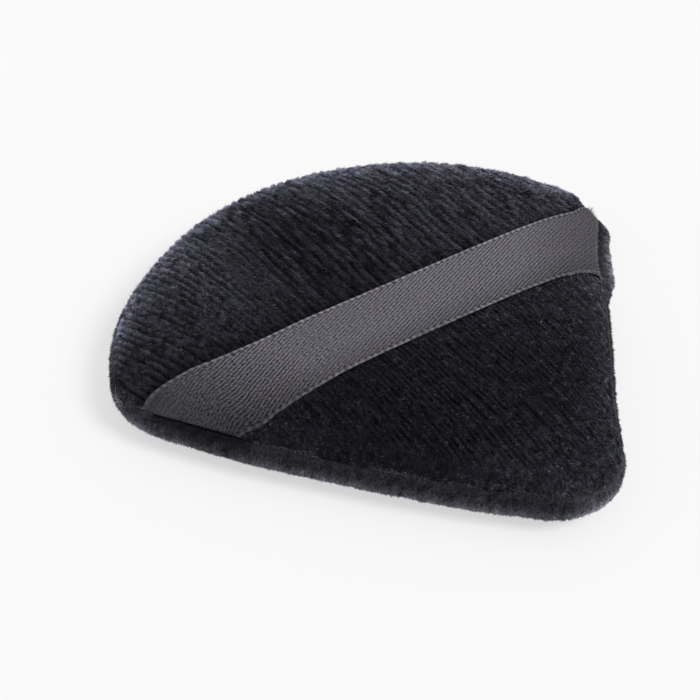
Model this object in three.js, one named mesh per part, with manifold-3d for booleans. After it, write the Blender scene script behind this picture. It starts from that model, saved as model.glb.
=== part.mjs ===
// Powder puff: two velour covers sewn face to face, turned out and filled with a cut sponge, with
// a satin ribbon caught in the side seams as a finger strap.
// Millimetres, +Z up, the tip towards -Y, the ribbon along X, the resting face at Z = 0.

import * as THREE from 'three';
import Module from 'manifold-3d';

const wasm = await Module();
wasm.setup();

// Outline of the seam, seen from above
const PUFF_LENGTH = 79.5; // tip to the middle of the base
const PUFF_WIDTH = 80.8; // across the two base corners
const TIP_RADIUS = 9.4;
const CORNER_RADIUS = 11.5;
const CORNER_SETBACK = 30.6; // middle of the base back to the corner centres
const SIDE_RADIUS = 445; // the slight bow of the two long sides

// Upper cover
const CROWN_RISE = 5.2; // seam to the top of the crown
const CROWN_POWER = 5.3; // higher keeps the crown flat for longer before it rolls over
const CROWN_PLACE = 5; // Y of the crown's top

// Lower cover
const LOWER_DEPTH = 5.9; // seam to the resting face
const LOWER_BULGE = 1; // how far the edge swells out past the seam
const BULGE_DROP = 1.5; // how far below the seam it swells most
const ROLL_WIDTH = 8.5; // seam to the edge of the flat resting face
const ROLL_POWER = 2.5; // 2 rolls as an ellipse does, higher is squarer

// Velour, seam and sponge
const VELOUR_THICKNESS = 1;
const ALLOWANCE = 5; // turned-in edge of each cover
const ALLOWANCE_THICKNESS = 0.8; // the pile is crushed there
const CLEARANCE = 0.3; // between pieces that touch

// Ribbon
const RIBBON_WIDTH = 12;
const RIBBON_THICKNESS = 0.35;
const RIBBON_PLACE = -1; // Y of its centre line
const RIBBON_SINK = 0.4; // depth of the channel that it presses into the velour
const RIBBON_FOLD = 0.6; // radius of its turn where it leaves the seam

// Threads
const THREAD_DIAMETER = 0.3;
const STITCH_LENGTH = 3;
const STITCH_INSET = 3.1; // seam line of the machine stitches, from the outline
const STITCH_SWELL = 0.12; // how far a stitch rises between its two holes
const TURNING_GAP = 36; // opening in the base seam, closed by hand after filling
const CLOSING_REACH = 0.5; // how far the hand stitches bite above and below the seam

// Facets
const TIP_STEPS = 5; // on half of the tip's arc
const SIDE_STEPS = 5;
const CORNER_STEPS = 7;
const BASE_STEPS = 9; // on half of the base's arc
const THREAD_STEPS = 2; // to a stitch
const THREAD_SIDES = 6;

const SEAM_Z = LOWER_DEPTH;
const HALF_GAP = CLEARANCE / 2; // from the seam plane to each cover's turned-in edge

// Outline: four tangent arcs on each side of the middle

function tangentCircle(a, b, radius) {
  // The large circle that holds circles a and b and touches both from inside, on their right.
  const gap = Math.hypot(b.x - a.x, b.y - a.y);
  const toA = radius - a.r;
  const toB = radius - b.r;
  const along = (toA ** 2 - toB ** 2 + gap ** 2) / (2 * gap);
  const aside = Math.sqrt(toA ** 2 - along ** 2);
  const ux = (b.x - a.x) / gap;
  const uy = (b.y - a.y) / gap;
  return { x: a.x + along * ux - aside * uy, y: a.y + along * uy + aside * ux, r: radius };
}

function angleFrom(outer, inner) {
  return Math.atan2(inner.y - outer.y, inner.x - outer.x);
}

function seamOutline() {
  const tip = { x: 0, y: TIP_RADIUS - PUFF_LENGTH / 2, r: TIP_RADIUS };
  const corner = {
    x: PUFF_WIDTH / 2 - CORNER_RADIUS,
    y: PUFF_LENGTH / 2 - CORNER_SETBACK,
    r: CORNER_RADIUS,
  };
  const baseRadius = (corner.x ** 2 + CORNER_SETBACK ** 2 - CORNER_RADIUS ** 2)
    / (2 * (CORNER_SETBACK - CORNER_RADIUS));
  const base = { x: 0, y: PUFF_LENGTH / 2 - baseRadius, r: baseRadius };
  const side = tangentCircle(tip, corner, SIDE_RADIUS);
  const atTip = angleFrom(side, tip);
  const atCorner = angleFrom(side, corner);
  const atBase = angleFrom(base, corner);
  const arcs = [
    [tip, -Math.PI / 2, atTip, TIP_STEPS],
    [side, atTip, atCorner, SIDE_STEPS],
    [corner, atCorner, atBase, CORNER_STEPS],
    [base, atBase, Math.PI / 2, BASE_STEPS],
  ];
  const right = [];
  for (const [circle, from, to, steps] of arcs) {
    for (let i = 0; i < steps; i += 1) {
      const angle = from + ((to - from) * i) / steps;
      const nx = Math.cos(angle);
      const ny = Math.sin(angle);
      right.push({ x: circle.x + circle.r * nx, y: circle.y + circle.r * ny, nx, ny });
    }
  }
  const middle = { x: 0, y: PUFF_LENGTH / 2, nx: 0, ny: 1 };
  const left = right.slice(1).reverse().map((p) => ({ x: -p.x, y: p.y, nx: -p.nx, ny: p.ny }));
  return [...right, middle, ...left];
}

const OUTLINE = seamOutline();

function ring(inset, z, share = 1) {
  // The outline moved in by inset, then drawn towards the crown's top by share.
  return OUTLINE.map((p) => new THREE.Vector3(
    (p.x - inset * p.nx) * share,
    CROWN_PLACE + (p.y - inset * p.ny - CROWN_PLACE) * share,
    z,
  ));
}

function pole(z) {
  return [new THREE.Vector3(0, CROWN_PLACE, z)];
}

// Surfaces of the two covers

function crownShare(x, y, inset) {
  // 0 at the crown's top and 1 on the outline moved in by inset.
  const edge = ring(inset, 0);
  const dx = x;
  const dy = y - CROWN_PLACE;
  for (let i = 0; i < edge.length; i += 1) {
    const a = edge[i];
    const b = edge[(i + 1) % edge.length];
    const ax = a.x;
    const ay = a.y - CROWN_PLACE;
    const bx = b.x;
    const by = b.y - CROWN_PLACE;
    const whole = ax * by - ay * bx;
    const onA = (dx * by - dy * bx) / whole;
    const onB = (ax * dy - ay * dx) / whole;
    if (onA >= 0 && onB >= 0) {
      return onA + onB;
    }
  }
  return 0;
}

function crownHeight(share, rise) {
  return rise * Math.sqrt(Math.max(0, 1 - share ** CROWN_POWER));
}

const OUTER_RISE = CROWN_RISE - HALF_GAP;
const INNER_RISE = OUTER_RISE - VELOUR_THICKNESS;

function upperOuter(x, y) {
  return HALF_GAP + crownHeight(crownShare(x, y, 0), OUTER_RISE);
}

function upperInner(x, y) {
  return HALF_GAP + crownHeight(crownShare(x, y, VELOUR_THICKNESS), INNER_RISE);
}

const ROLL_REACH = Math.min(ROLL_WIDTH, 0.95 * TIP_RADIUS); // no wider than the tip's own arc

function roll(turn, fromInset, fromDepth, toDepth) {
  // A point on the rolled edge: turn runs from 0 at its widest to 1 at the flat.
  const angle = (turn * Math.PI) / 2;
  const side = Math.max(0, Math.cos(angle)) ** (2 / ROLL_POWER);
  const down = Math.sin(angle) ** (2 / ROLL_POWER);
  return {
    inset: fromInset + (ROLL_REACH - fromInset) * (1 - side),
    depth: fromDepth + (toDepth - fromDepth) * down,
  };
}

const INNER_START = HALF_GAP + ALLOWANCE_THICKNESS; // below the seam plane

function lowerOuter(turn) {
  return roll(turn, -LOWER_BULGE, BULGE_DROP, LOWER_DEPTH);
}

function lowerInner(turn) {
  return roll(turn, VELOUR_THICKNESS - LOWER_BULGE, INNER_START, LOWER_DEPTH - VELOUR_THICKNESS);
}

function bulge(depth) {
  // How far the lower cover stands out past the outline, from the seam down to its widest.
  const share = Math.min(1, Math.max(0, (depth - HALF_GAP) / (BULGE_DROP - HALF_GAP)));
  return LOWER_BULGE * Math.sqrt(1 - (1 - share) ** 2);
}

// Closed solids from rings of points

function solidFrom(rings, addCaps) {
  const starts = [];
  const positions = [];
  for (const points of rings) {
    starts.push(positions.length / 3);
    points.forEach((p) => positions.push(p.x, p.y, p.z));
  }
  const faces = [];
  for (let i = 0; i + 1 < rings.length; i += 1) {
    const count = Math.max(rings[i].length, rings[i + 1].length);
    const at = (r, j) => starts[r] + (j % rings[r].length);
    for (let j = 0; j < count; j += 1) {
      if (rings[i + 1].length > 1) {
        faces.push(at(i, j), at(i + 1, j), at(i + 1, j + 1));
      }
      if (rings[i].length > 1) {
        faces.push(at(i, j), at(i + 1, j + 1), at(i, j + 1));
      }
    }
  }
  if (addCaps) {
    const last = rings.length - 1;
    const size = rings[0].length;
    for (let j = 0; j + 1 < size / 2; j += 1) {
      const first = [j, j + 1, size - 2 - j, size - 1 - j];
      const end = first.map((k) => starts[last] + k);
      faces.push(first[0], first[1], first[2], first[0], first[2], first[3]);
      faces.push(end[0], end[2], end[1], end[0], end[3], end[2]);
    }
  }
  const geometry = new THREE.BufferGeometry();
  geometry.setAttribute('position', new THREE.Float32BufferAttribute(positions, 3));
  geometry.setIndex(faces);
  return geometry;
}

function cut(geometry, tool) {
  const toSolid = (g) => new wasm.Manifold(new wasm.Mesh({
    numProp: 3,
    vertProperties: new Float32Array(g.attributes.position.array),
    triVerts: new Uint32Array(g.index.array),
  }));
  const mesh = toSolid(geometry).subtract(toSolid(tool)).getMesh();
  const result = new THREE.BufferGeometry();
  result.setAttribute('position', new THREE.Float32BufferAttribute(mesh.vertProperties, 3));
  result.setIndex(Array.from(mesh.triVerts));
  return result;
}

// Covers

function upperCover() {
  const shares = [0.3, 0.52, 0.68, 0.79, 0.87, 0.925, 0.962, 0.986, 0.997];
  const outer = shares.map((s) => ring(0, SEAM_Z + HALF_GAP + crownHeight(s, OUTER_RISE), s));
  const underside = SEAM_Z + HALF_GAP;
  const topside = underside + ALLOWANCE_THICKNESS;
  const inside = (1 - (ALLOWANCE_THICKNESS / INNER_RISE) ** 2) ** (1 / CROWN_POWER);
  const inner = [1, 0.955, 0.89, 0.78, 0.5].map((step) => {
    const share = inside * step;
    return ring(VELOUR_THICKNESS, underside + crownHeight(share, INNER_RISE), share);
  });
  return solidFrom([
    pole(underside + OUTER_RISE),
    ...outer,
    ring(0, underside),
    ring(ALLOWANCE, underside),
    ring(ALLOWANCE, topside),
    ...inner,
    pole(underside + INNER_RISE),
  ]);
}

function lowerCover() {
  const turns = [0, 0.14, 0.3, 0.5, 0.72, 1];
  const inner = turns.map(lowerInner).reverse();
  const lip = [0.12, 0.45].map((share) => {
    const depth = HALF_GAP + share * (BULGE_DROP - HALF_GAP);
    return { inset: -bulge(depth), depth };
  });
  const outer = turns.map(lowerOuter);
  const place = (p) => ring(p.inset, SEAM_Z - p.depth);
  return solidFrom([
    pole(VELOUR_THICKNESS),
    ...inner.map(place),
    ring(ALLOWANCE, SEAM_Z - INNER_START),
    ring(ALLOWANCE, SEAM_Z - HALF_GAP),
    ring(0, SEAM_Z - HALF_GAP),
    ...lip.map(place),
    ...outer.map(place),
    pole(0),
  ]);
}

// Sponge: a slab cut to the outline inside the turned-in edges, as thick as the covers leave room

function sponge() {
  const edge = ALLOWANCE + CLEARANCE;
  const top = [0.35, 0.65, 0.85, 1].map((share) => ring(edge, 0, share).map((p) => {
    const height = SEAM_Z + upperInner(p.x, p.y) - CLEARANCE;
    return new THREE.Vector3(p.x, p.y, height);
  }));
  const turnAt = (inset) => {
    let low = 0;
    let high = 1;
    for (let i = 0; i < 40; i += 1) {
      const turn = (low + high) / 2;
      if (lowerInner(turn).inset < inset) {
        low = turn;
      } else {
        high = turn;
      }
    }
    return high;
  };
  const first = turnAt(edge);
  const bottom = [0, 0.4, 1].map((step) => lowerInner(first + (1 - first) * step));
  return solidFrom([
    pole(SEAM_Z + upperInner(0, CROWN_PLACE) - CLEARANCE),
    ...top,
    ...bottom.map((p) => ring(Math.max(edge, p.inset), SEAM_Z - p.depth + CLEARANCE)),
    pole(VELOUR_THICKNESS + CLEARANCE),
  ]);
}

// Ribbon: from the turned-in edge on one side, out of the seam, over the crown and back in

function edgeAt(y) {
  // Where the right-hand side of the outline crosses y, and how squarely it faces X.
  const last = OUTLINE.length / 2;
  for (let i = 0; i < last; i += 1) {
    const a = OUTLINE[i];
    const b = OUTLINE[i + 1];
    if (a.y <= y && y <= b.y) {
      const share = (y - a.y) / (b.y - a.y);
      return { x: a.x + (b.x - a.x) * share, facing: (b.y - a.y) / Math.hypot(b.x - a.x, b.y - a.y) };
    }
  }
  throw new Error('the ribbon lies beyond the puff');
}

function ribbonHalf(y, tail) {
  // Middle of the ribbon's thickness, from the tail's end to the middle of the puff.
  const edge = edgeAt(y);
  const proud = RIBBON_THICKNESS / 2 + CLEARANCE - RIBBON_SINK;
  const outside = edge.x + proud / edge.facing;
  const points = [{ x: edge.x - tail / edge.facing, z: 0 }];
  for (const turn of [0, 0.33, 0.67, 1]) {
    const angle = (turn * Math.PI) / 2;
    points.push({
      x: outside - RIBBON_FOLD * (1 - Math.sin(angle)),
      z: RIBBON_FOLD * (1 - Math.cos(angle)),
    });
  }
  for (const share of [0.978, 0.95, 0.91, 0.85, 0.77, 0.65, 0.48, 0.25, 0]) {
    const x = edge.x * share;
    const step = 0.01;
    const slopeX = (upperOuter(x + step, y) - upperOuter(x - step, y)) / (2 * step);
    const slopeY = (upperOuter(x, y + step) - upperOuter(x, y - step)) / (2 * step);
    const steep = 1 + slopeX ** 2;
    const reach = (proud * Math.sqrt(steep + slopeY ** 2)) / steep;
    points.push({ x: x - slopeX * reach, z: upperOuter(x, y) + reach });
  }
  return points;
}

function ribbonSheet(width, thickness, tail) {
  const rows = [-0.5, -0.25, 0, 0.25, 0.5].map((share) => {
    const y = RIBBON_PLACE + share * width;
    const half = ribbonHalf(y, tail);
    const mirrored = half.slice(0, -1).reverse().map((p) => ({ x: -p.x, z: p.z }));
    return { y, path: [...half, ...mirrored] };
  });
  const face = (row, i, side) => {
    const before = row.path[Math.max(0, i - 1)];
    const after = row.path[Math.min(row.path.length - 1, i + 1)];
    const length = Math.hypot(after.x - before.x, after.z - before.z);
    const out = (side * thickness) / 2 / length;
    return new THREE.Vector3(
      row.path[i].x + (after.z - before.z) * out,
      row.y,
      SEAM_Z + row.path[i].z - (after.x - before.x) * out,
    );
  };
  const rings = rows[0].path.map((_, i) => [
    ...rows.map((row) => face(row, i, -1)),
    ...rows.map((row) => face(row, i, 1)).reverse(),
  ]);
  return solidFrom(rings, true);
}

// Threads

function threadAlong(points, steps) {
  const section = new THREE.Shape();
  section.absarc(0, 0, THREAD_DIAMETER / 2, 0, 2 * Math.PI);
  const path = new THREE.CatmullRomCurve3(points);
  return new THREE.ExtrudeGeometry(section, {
    steps,
    curveSegments: THREAD_SIDES / 2,
    bevelEnabled: false,
    extrudePath: path,
  });
}

function seamThread(side) {
  // One of the two threads of the machine seam: side is 1 above the turned-in edges, -1 below.
  const line = new THREE.CatmullRomCurve3(ring(STITCH_INSET, 0), true);
  const length = line.getLength();
  const run = length - TURNING_GAP;
  const count = THREAD_STEPS * Math.round(run / STITCH_LENGTH);
  const face = INNER_START + CLEARANCE + THREAD_DIAMETER / 2;
  const points = [];
  for (let i = 0; i <= count; i += 1) {
    const along = (0.5 + (TURNING_GAP / 2 + (run * i) / count) / length) % 1;
    const swell = STITCH_SWELL * Math.abs(Math.sin((Math.PI * i) / THREAD_STEPS));
    const point = line.getPointAt(along);
    point.z = SEAM_Z + side * (face + swell);
    points.push(point);
  }
  return threadAlong(points, count);
}

function closingThread() {
  // Hand stitches that cross the seam from lip to lip over the turning gap.
  const line = new THREE.CatmullRomCurve3(ring(0, 0), true);
  const length = line.getLength();
  const count = 2 * Math.round(TURNING_GAP / STITCH_LENGTH / 2);
  const stand = CLEARANCE + THREAD_DIAMETER / 2;
  const points = [];
  for (let i = 0; i <= count; i += 1) {
    const along = 0.5 + (TURNING_GAP * (i / count - 0.5)) / length;
    const point = line.getPointAt(along);
    const tangent = line.getTangentAt(along);
    const lower = i % 2;
    const out = stand + (lower ? bulge(HALF_GAP + CLOSING_REACH) : 0);
    point.x += tangent.y * out;
    point.y -= tangent.x * out;
    point.z = SEAM_Z + (lower ? -1 : 1) * (HALF_GAP + CLOSING_REACH);
    points.push(point);
  }
  return threadAlong(points, 2 * THREAD_STEPS * count);
}

// Assembly

const puff = new THREE.Group();

function addPiece(name, geometry, color, roughness) {
  geometry.computeVertexNormals();
  const material = new THREE.MeshStandardMaterial({ color, roughness, metalness: 0 });
  const mesh = new THREE.Mesh(geometry, material);
  mesh.name = name;
  puff.add(mesh);
}

const ribbonSeat = ribbonSheet(
  RIBBON_WIDTH + 2 * CLEARANCE,
  RIBBON_THICKNESS + 2 * CLEARANCE,
  ALLOWANCE + 2 * CLEARANCE,
);

addPiece('lower_cover', cut(lowerCover(), ribbonSeat), 0x212025, 0.95);
addPiece('upper_cover', cut(upperCover(), ribbonSeat), 0x28282d, 0.95);
addPiece('foam_core', sponge(), 0xd9d4c8, 0.9);
addPiece('ribbon', ribbonSheet(RIBBON_WIDTH, RIBBON_THICKNESS, ALLOWANCE), 0x626165, 0.4);
addPiece('needle_thread', seamThread(1), 0x2b2b2f, 0.7);
addPiece('bobbin_thread', seamThread(-1), 0x2b2b2f, 0.7);
addPiece('closing_thread', closingThread(), 0x2b2b2f, 0.7);

export default puff;
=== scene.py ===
import math

import bpy
import numpy as np
from mathutils import Matrix, Vector


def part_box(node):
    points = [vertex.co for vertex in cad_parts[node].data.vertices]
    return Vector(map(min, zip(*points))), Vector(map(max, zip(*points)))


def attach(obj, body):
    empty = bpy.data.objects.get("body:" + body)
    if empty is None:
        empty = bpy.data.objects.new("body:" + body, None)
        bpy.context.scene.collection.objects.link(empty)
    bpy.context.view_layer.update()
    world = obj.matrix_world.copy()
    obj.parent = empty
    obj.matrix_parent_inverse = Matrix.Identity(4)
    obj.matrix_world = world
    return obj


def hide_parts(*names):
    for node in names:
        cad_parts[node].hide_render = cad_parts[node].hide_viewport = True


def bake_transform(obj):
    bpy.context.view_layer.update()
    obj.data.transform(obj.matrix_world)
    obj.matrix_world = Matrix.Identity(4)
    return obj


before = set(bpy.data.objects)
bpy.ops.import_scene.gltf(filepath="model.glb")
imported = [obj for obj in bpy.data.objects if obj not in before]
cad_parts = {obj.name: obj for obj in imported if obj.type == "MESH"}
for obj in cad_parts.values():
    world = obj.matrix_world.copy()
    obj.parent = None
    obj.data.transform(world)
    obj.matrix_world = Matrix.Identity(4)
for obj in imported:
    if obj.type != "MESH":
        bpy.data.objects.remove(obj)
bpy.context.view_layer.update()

# Camera: the photograph looks down on the puff from the left of its tip. The middle of the seam
# falls on one pixel of the 700 by 700 frame, and the camera is moved aside to put it there.
mm = 0.001
photo_side = 700
focal_pixels = 1600
pixels_per_metre = 7085
seam_middle_pixel = (409.9, 327.0)
camera_azimuth = math.radians(-34.67)
camera_elevation = math.radians(39.82)

seam_z = (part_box("lower_cover")[1][2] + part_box("upper_cover")[0][2]) / 2
camera_distance = focal_pixels / pixels_per_metre
toward = Vector((
    -math.sin(camera_azimuth) * math.cos(camera_elevation),
    math.cos(camera_azimuth) * math.cos(camera_elevation),
    -math.sin(camera_elevation),
))
rightward = Vector((math.cos(camera_azimuth), math.sin(camera_azimuth), 0))
upward = rightward.cross(toward)
aside = (seam_middle_pixel[0] - photo_side / 2) / focal_pixels * camera_distance
above = (photo_side / 2 - seam_middle_pixel[1]) / focal_pixels * camera_distance
camera_data = bpy.data.cameras.new("photo_camera")
camera_data.sensor_width = 36
camera_data.lens = camera_data.sensor_width * focal_pixels / photo_side
camera_data.clip_start = 0.01
camera = bpy.data.objects.new("photo_camera", camera_data)
bpy.context.collection.objects.link(camera)
turn = Matrix((rightward, upward, -toward)).transposed().to_4x4()
place = Vector((0, 0, seam_z)) - toward * camera_distance - rightward * aside - upward * above
camera.matrix_world = Matrix.Translation(place) @ turn
bpy.context.scene.camera = camera

# Upper velour panel: ribbed plush with a short cut pile, cut to a rounded triangle and sewn round
# its edge. The sponge crowns it, and the ribbon across it draws the seam in at both ends.
tip_radius = 9.4 * mm
corner_radius = 11.5 * mm
corner_setback = 30.6 * mm
side_radius = 445 * mm
panel_middle = np.array((0, 5 * mm))
mean_reach = 33 * mm  # from a panel's middle to its edge
half_gap = 0.15 * mm
crown_power = 5.3
velour_thickness = 1 * mm
allowance = 5 * mm
allowance_thickness = 0.8 * mm
ribbon_width = 12 * mm
ribbon_y = -1.5 * mm
ribbon_skew = 1.2 * mm  # the left end's upper edge is sewn in this much further from the tip
left_lift = 0.3 * mm  # and a little more at the seam itself
left_pinch = 1.5 * mm  # the seam rounds off the ribbon's lower corners
right_low_pinch = 0.6 * mm
right_flare = 1.6 * mm  # but the upper corner on the right stands out
ribbon_channel = 0.5 * mm
ribbon_press = 0.55 * mm
back_rib_pitch = 1.45 * mm
tip_rib_pitch = 0.76 * mm
back_pile_depth = 0.7 * mm
tip_pile_depth = 0.45 * mm
pile_stand = 0.25 * mm  # tufts stand this far above the face that they are rooted in
tuft_root = 0.1 * mm  # and reach this far into it
seam_fade = 1.5 * mm  # the ribs die away towards the seam
pile_black = (0.0016, 0.0015, 0.0034, 1)
fine_cells = 288
coarse_cells = 24
cloth_cells = 36
cloth_pressure = 4
cloth_steps = 20
cloth_cap = 0.3 * mm
upper_low, upper_high = (np.array(corner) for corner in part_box("upper_cover"))
crown_rise = upper_high[2] - seam_z - half_gap


def seam_outline(count):
    """Points round the seam from the tip, evenly spaced, each with the way that faces out there."""
    tip = np.array((0, upper_low[1] + tip_radius))
    corner = np.array((upper_high[0] - corner_radius, upper_high[1] - corner_setback))
    base_radius = corner[0] ** 2 + corner_setback ** 2 - corner_radius ** 2
    base_radius /= 2 * (corner_setback - corner_radius)
    base = np.array((0, upper_high[1] - base_radius))
    to_tip = side_radius - tip_radius
    to_corner = side_radius - corner_radius
    span = np.linalg.norm(corner - tip)
    along = (to_tip ** 2 - to_corner ** 2 + span ** 2) / (2 * span)
    level = (corner - tip) / span
    side = tip + along * level
    side += math.sqrt(to_tip ** 2 - along ** 2) * np.array((-level[1], level[0]))
    at_tip = math.atan2(*(tip - side)[::-1])
    at_corner = math.atan2(*(corner - side)[::-1])
    at_base = math.atan2(*(corner - base)[::-1])
    angles = []
    points = []
    for centre, radius, start, end in (
        (tip, tip_radius, -math.pi / 2, at_tip),
        (side, side_radius, at_tip, at_corner),
        (corner, corner_radius, at_corner, at_base),
        (base, base_radius, at_base, math.pi / 2),
    ):
        angle = np.linspace(start, end, 400, endpoint=False)
        angles.append(angle)
        points.append(centre + radius * np.column_stack((np.cos(angle), np.sin(angle))))
    right = np.vstack((*points, (0, upper_high[1])))
    facing = np.append(np.concatenate(angles), math.pi / 2)
    ring = np.vstack((right, right[-2:0:-1] * (-1, 1), right[:1]))
    facing = np.concatenate((facing, math.pi - facing[-2:0:-1], [1.5 * math.pi]))
    run = np.append(0, np.cumsum(np.linalg.norm(np.diff(ring, axis=0), axis=1)))
    want = np.linspace(0, run[-1], count + 1)[:-1]
    ways = np.interp(want, run, facing)
    spots = np.column_stack([np.interp(want, run, ring[:, k]) for k in (0, 1)])
    return spots, np.column_stack((np.cos(ways), np.sin(ways)))


def eased(value, start, end):
    """0 up to the start, 1 from the end on, and smooth between."""
    value = np.clip((value - start) / (end - start), 0, 1)
    return value * value * (3 - 2 * value)


def hump(value, middle, width):
    """1 in the middle, falling off smoothly to both sides."""
    return np.exp(-((value - middle) / width) ** 2)


def on_left_side(spots):
    """1 on the left of the puff and 0 on its right, changing smoothly over the middle line."""
    return eased(spots[:, 0], 3 * mm, -3 * mm)


def rim_draw(spots):
    """How far both panels' edge is drawn in: on the right flank and, a little, at the corners."""
    y = spots[:, 1] / mm
    right = 1.4 * eased(y, -6, -12) * eased(y, -42, -26)
    right += 0.5 * hump(y, 9, 2) + 0.55 * hump(y, 15, 4)
    left = 0.55 * hump(y, 33, 7) + 0.35 * hump(y, 4, 5) + 0.5 * eased(y, -30, -36)
    return mm * (right + (left - right) * on_left_side(spots))


def ribbon_draw(spots):
    """How far the taut ribbon draws the seam in: most at its right end, under its front edge."""
    y = spots[:, 1] / mm
    right = 1.75 * hump(y, -6, 9.5) + hump(y, 7, 2.8)
    left = 0.6 * hump(y, 2, 8)
    return mm * (right + (left - right) * on_left_side(spots))


def ribbon_edges(x):
    """Lower and upper edge of the ribbon in plan, straight but for the last few millimetres."""
    at_left = eased(x, -28.7 * mm, -32.5 * mm)
    at_right = eased(x, 30 * mm, 37 * mm)
    low = ribbon_y - ribbon_width / 2 + left_pinch * at_left + right_low_pinch * at_right
    skew = ribbon_skew * eased(x, -17 * mm, -37 * mm) + left_lift * at_left
    high = ribbon_y + ribbon_width / 2 + skew + right_flare * eased(x, 33 * mm, 38 * mm)
    return low, high


def ribbon_dip(x):
    """How far the ribbon presses the panel down near its left end."""
    return ribbon_press * eased(x, -14 * mm, -26 * mm) * eased(x, -40 * mm, -34 * mm)


plain_outline, outline_facing = seam_outline(4 * fine_cells)
rim_outline = plain_outline - outline_facing * rim_draw(plain_outline)[:, None]
outline_draw = np.maximum(ribbon_draw(plain_outline) - rim_draw(plain_outline), 0)
outline = rim_outline - outline_facing * outline_draw[:, None]


def round_values(values, around):
    """Values kept round the outline, read at other places round it."""
    ring = np.arange(len(values) + 1)
    closed = np.concatenate((values, values[:1]))
    if values.ndim == 1:
        return np.interp(around * len(values), ring, closed)
    return np.column_stack([np.interp(around * len(values), ring, part) for part in closed.T])


def round_net(cells):
    """A square net drawn round: how far each point lies from the middle, and how far round."""
    step = np.linspace(-1, 1, cells + 1)
    across, up = np.meshgrid(step, step, indexing="ij")
    share = np.maximum(abs(across), abs(up))
    safe_across = np.where(across == 0, 1, across)
    safe_up = np.where(up == 0, 1, up)
    sideways = math.pi / 4 * up / safe_across + math.pi * (across < 0)
    upright = math.pi / 2 - math.pi / 4 * across / safe_up + math.pi * (up < 0)
    angle = np.where(abs(across) >= abs(up), sideways, upright)
    return share.ravel(), (angle / (2 * math.pi) + 0.25).ravel() % 1


def net_faces(cells):
    """The net's square faces, each by its four points."""
    i, j = (part.ravel() for part in np.meshgrid(range(cells), range(cells), indexing="ij"))
    first = i * (cells + 1) + j
    return np.column_stack((first, first + cells + 1, first + cells + 2, first + 1))


def net_square(cells):
    """The net's points laid over the unit square."""
    step = np.linspace(0, 1, cells + 1)
    return np.column_stack([part.ravel() for part in np.meshgrid(step, step, indexing="ij")])


def net_edge(cells):
    """The net's border points in order."""
    side = np.arange(cells)
    wide = cells + 1
    return np.concatenate((
        side * wide, cells * wide + side, (cells - side) * wide + cells, cells - side,
    ))


def section_runs(insets, heights):
    """Lengths along a section, from 0 at its start to 1 at its end, and the whole length."""
    run = np.append(0, np.cumsum(np.hypot(np.diff(insets), np.diff(heights))))
    return run / run[-1], run[-1]


share_steps = 1 - (1 - np.linspace(0, 1, 900)) ** 2
crown_runs, crown_length = section_runs(
    share_steps * mean_reach, crown_rise * np.sqrt(1 - share_steps ** crown_power))


def upper_places(share, around):
    """Points of the upper panel's outer face, before the ribbon and the pile."""
    out = np.interp(share, crown_runs, share_steps)
    plan = panel_middle + (round_values(outline, around) - panel_middle) * out[:, None]
    height = crown_rise * np.sqrt(np.clip(1 - out ** crown_power, 0, 1))
    return np.column_stack((plan, seam_z + half_gap + height))


def facing_of(points, faces):
    """The way that each point of a mesh faces, from the faces round it."""
    a, b, c, d = (points[faces[:, k]] for k in range(4))
    flat = np.cross(c - a, d - b)
    total = np.zeros_like(points)
    for k in range(4):
        np.add.at(total, faces[:, k], flat)
    return total / np.maximum(np.linalg.norm(total, axis=1), 1e-15)[:, None]


def swollen(points, faces, held):
    """How far cloth swells when it is blown out from these points, with the held points fixed."""
    enlarge = 10  # the cloth solver is at its best on things about a metre across
    mesh = bpy.data.meshes.new("blown")
    mesh.from_pydata((points * enlarge).tolist(), [], faces.tolist())
    blown = bpy.data.objects.new("blown", mesh)
    bpy.context.collection.objects.link(blown)
    group = blown.vertex_groups.new(name="held")
    group.add([int(k) for k in np.flatnonzero(held)], 1.0, "REPLACE")
    cloth = blown.modifiers.new("cloth", "CLOTH")
    cloth.settings.quality = 6
    cloth.settings.mass = 0.15
    cloth.settings.tension_stiffness = 25
    cloth.settings.compression_stiffness = 25
    cloth.settings.bending_stiffness = 1.5
    cloth.settings.use_pressure = True
    cloth.settings.uniform_pressure_force = cloth_pressure
    cloth.settings.vertex_group_mass = "held"
    cloth.settings.effector_weights.gravity = 0
    cloth.collision_settings.use_collision = False
    scene = bpy.context.scene
    for step in range(1, cloth_steps + 1):
        scene.frame_set(step)
    settled = blown.evaluated_get(bpy.context.evaluated_depsgraph_get()).data
    moved = np.empty(len(points) * 3)
    settled.vertices.foreach_get("co", moved)
    moved = moved.reshape(-1, 3) / enlarge - points
    scene.frame_set(1)
    bpy.data.objects.remove(blown)
    bpy.data.meshes.remove(mesh)
    size = np.linalg.norm(moved, axis=1)
    return moved * (np.minimum(size, cloth_cap) / np.maximum(size, 1e-12))[:, None]


def finer(values, cells, wanted):
    """A net's values drawn out smoothly to a net of more cells."""
    grid = values.reshape(cells + 1, cells + 1)
    before = np.linspace(0, 1, cells + 1)
    after = np.linspace(0, 1, wanted + 1)
    grid = np.array([np.interp(after, before, row) for row in grid])
    grid = np.array([np.interp(after, before, column) for column in grid.T]).T
    reach = wanted // cells
    weights = np.hanning(2 * reach + 1)
    weights /= weights.sum()
    for axis in (0, 1):
        edge = [(reach, reach) if k == axis else (0, 0) for k in (0, 1)]
        padded = np.pad(grid, edge, mode="edge")
        grid = sum(w * np.take(padded, range(k, k + wanted + 1), axis) for k, w in enumerate(weights))
    return grid.ravel()


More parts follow.
